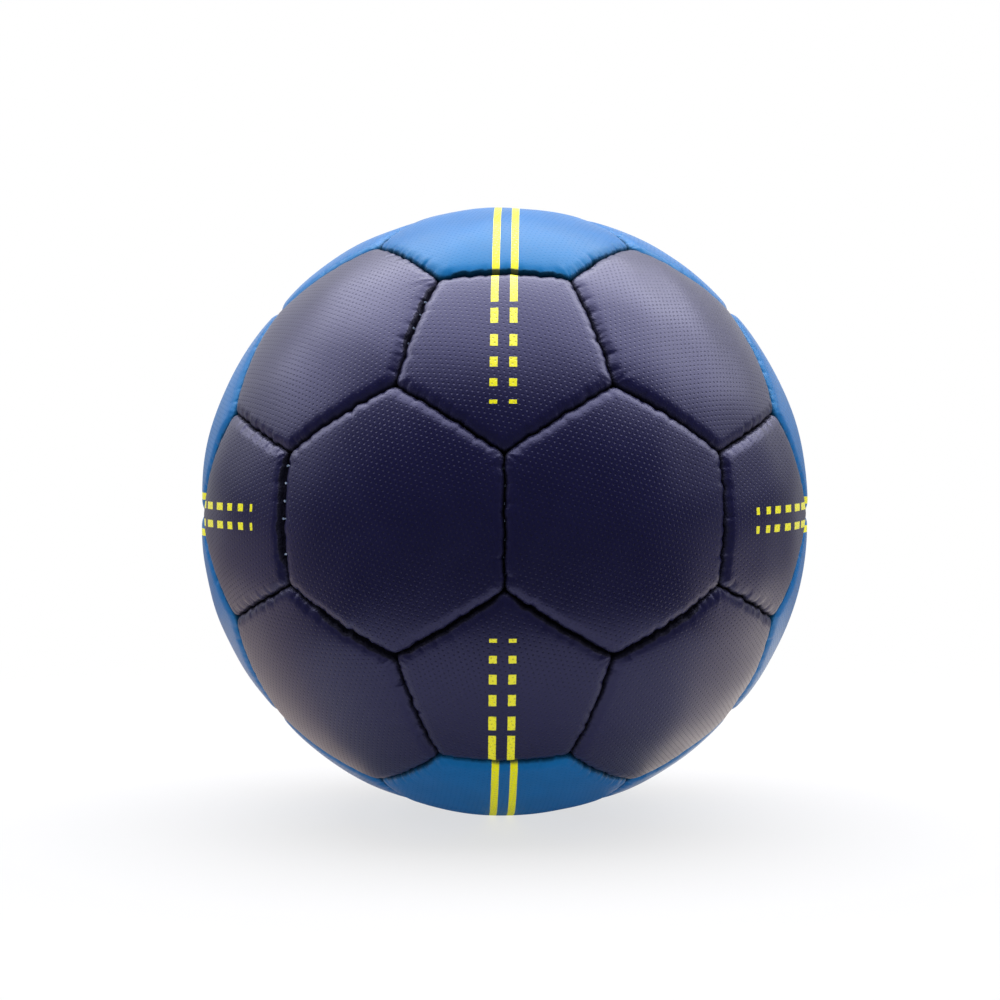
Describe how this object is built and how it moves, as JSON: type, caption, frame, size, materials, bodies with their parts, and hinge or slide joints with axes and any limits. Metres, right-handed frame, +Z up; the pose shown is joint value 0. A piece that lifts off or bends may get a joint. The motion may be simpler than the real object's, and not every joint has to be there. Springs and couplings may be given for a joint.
{
  "type": "handball",
  "caption": "Hand-stitched leather ball: hexagon and pentagon cover panels with turned-in edges, laced over padding and a valved air bladder.",
  "frame": {"origin": "the ball's centre", "axes": "-Y through the middle of the upright seam between the two large dark panels at the front, +Z up, +X to the right of the front; the valve is in the dark hexagon at the back, on the right"},
  "size_m": [0.1868, 0.1868, 0.1868],
  "materials": {
    "dark_leather": "embossed, satin",
    "light_blue_leather": "embossed, satin",
    "padding_cloth": "laminated cotton",
    "patch_cloth": "woven cotton",
    "waxed_thread": "waxed braid",
    "bladder_rubber": "dusted rubber",
    "valve_rubber": "smooth rubber"
  },
  "bodies": {
    "root": {"hexagon_front_left": "dark_leather", "hexagon_back_left": "dark_leather", "hexagon_front_right": "dark_leather", "hexagon_back_right": "dark_leather", "hexagon_front_bottom": "light_blue_leather", "hexagon_front_top": "light_blue_leather", "hexagon_back_bottom": "light_blue_leather", "hexagon_back_top": "light_blue_leather", "hexagon_left_bottom": "light_blue_leather", "hexagon_right_bottom": "light_blue_leather", "hexagon_left_top": "light_blue_leather", "hexagon_right_top": "light_blue_leather", "hexagon_front_left_bottom": "dark_leather", "hexagon_front_left_top": "dark_leather", "hexagon_back_left_bottom": "dark_leather", "hexagon_back_left_top": "dark_leather", "hexagon_front_right_bottom": "dark_leather", "hexagon_front_right_top": "dark_leather", "hexagon_back_right_bottom": "dark_leather", "hexagon_back_right_top": "dark_leather", "pentagon_front_bottom": "dark_leather", "pentagon_front_top": "dark_leather", "pentagon_back_bottom": "dark_leather", "pentagon_back_top": "dark_leather", "pentagon_front_left": "dark_leather", "pentagon_back_left": "dark_leather", "pentagon_front_right": "dark_leather", "pentagon_back_right": "dark_leather", "pentagon_left_bottom": "light_blue_leather", "pentagon_left_top": "light_blue_leather", "pentagon_right_bottom": "light_blue_leather", "pentagon_right_top": "light_blue_leather", "hexagon_padding": "padding_cloth", "pentagon_padding": "padding_cloth", "hexagon_seam_thread": "waxed_thread", "pentagon_seam_thread": "waxed_thread", "bladder": "bladder_rubber", "valve_housing": "valve_rubber", "valve_core": "valve_rubber", "valve_patch": "patch_cloth"}
  },
  "joints": []
}
